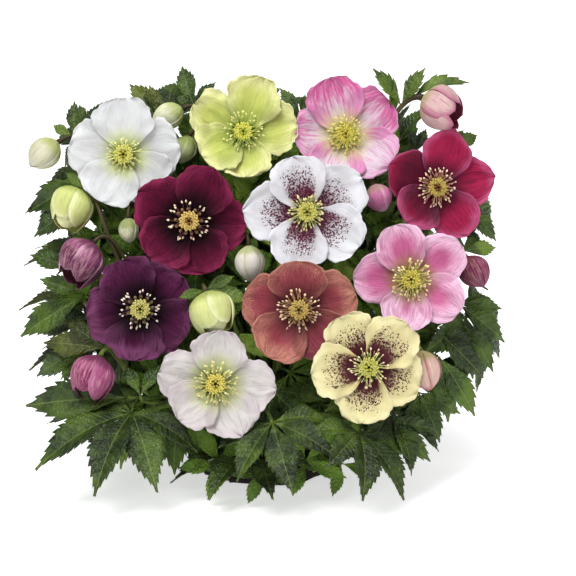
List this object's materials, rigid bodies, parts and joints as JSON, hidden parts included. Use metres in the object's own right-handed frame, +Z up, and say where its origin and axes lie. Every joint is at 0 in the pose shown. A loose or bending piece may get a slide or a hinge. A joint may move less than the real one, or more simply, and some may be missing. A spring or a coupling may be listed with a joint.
{
  "type": "hellebore plant",
  "caption": "Clump of hellebores in flower on a low root ball: open saucer blooms and nodding buds in mixed colours above dark, fingered, saw-edged leaves.",
  "frame": {"origin": "middle of the root ball's flat foot, on the surface it stands on", "axes": "+Z up along the stems, -Y the side the blooms face, +X to the right of a viewer facing the blooms"},
  "size_m": [0.3724, 0.3224, 0.2963],
  "materials": {
    "soil": "dark crumbly peat with white perlite flecks",
    "stem": "satin, green flushed with reddish brown",
    "leaf": "semi-gloss dark green with paler ribs",
    "sepal_white": "satin white",
    "sepal_lime": "satin yellow-green",
    "sepal_streaked": "satin pink with magenta streaks",
    "sepal_red": "satin crimson",
    "sepal_burgundy": "satin wine red, darker at the heart",
    "sepal_spotted": "satin white speckled with maroon",
    "sepal_pink": "satin rose pink",
    "sepal_purple": "satin deep purple, near black at the heart",
    "sepal_rose": "satin antique rose with tan edges",
    "sepal_cream": "satin pale yellow speckled with maroon",
    "sepal_blush": "satin white blushed with mauve",
    "boss": "matt yellow-green stamens and carpels",
    "bud_pale": "satin ivory to pale green",
    "bud_lime": "satin lime green",
    "bud_plum": "satin plum and magenta with darker veins",
    "bud_pink": "satin dusty pink"
  },
  "bodies": {
    "root": {"root_ball": "soil", "stem_white": "stem", "stem_lime": "stem", "stem_streaked": "stem", "stem_red": "stem", "stem_burgundy": "stem", "stem_spotted": "stem", "stem_pink": "stem", "stem_purple": "stem", "stem_rose": "stem", "stem_cream": "stem", "stem_blush": "stem", "stem_bell": "stem", "leaves_1": "leaf", "leaves_2": "leaf", "leaves_3": "leaf", "leaves_4": "leaf", "leaves_5": "leaf", "leaves_6": "leaf", "leaves_7": "leaf", "leaves_8": "leaf", "leaves_9": "leaf", "leaves_10": "leaf", "leaves_11": "leaf", "leaves_12": "leaf", "bloom_white": "sepal_white", "boss_white": "boss", "bloom_lime": "sepal_lime", "boss_lime": "boss", "bloom_streaked": "sepal_streaked", "boss_streaked": "boss", "bloom_red": "sepal_red", "boss_red": "boss", "bloom_burgundy": "sepal_burgundy", "boss_burgundy": "boss", "bloom_spotted": "sepal_spotted", "boss_spotted": "boss", "bloom_pink": "sepal_pink", "boss_pink": "boss", "bloom_purple": "sepal_purple", "boss_purple": "boss", "bloom_rose": "sepal_rose", "boss_rose": "boss", "bloom_cream": "sepal_cream", "boss_cream": "boss", "bloom_blush": "sepal_blush", "boss_blush": "boss", "bud_ivory": "bud_pale", "bud_cream": "bud_pale", "bud_green": "bud_pale", "bud_lime_bell": "bud_lime", "bud_small": "bud_pale", "bud_plum_bell": "bud_plum", "bud_magenta_bell": "bud_plum", "bud_pale": "bud_pale", "bud_green_bell": "bud_lime", "bud_pink_bell": "bud_pink", "bud_rosy": "bud_pink", "bud_wine": "bud_plum", "bud_peach": "bud_pink"}
  },
  "joints": []
}
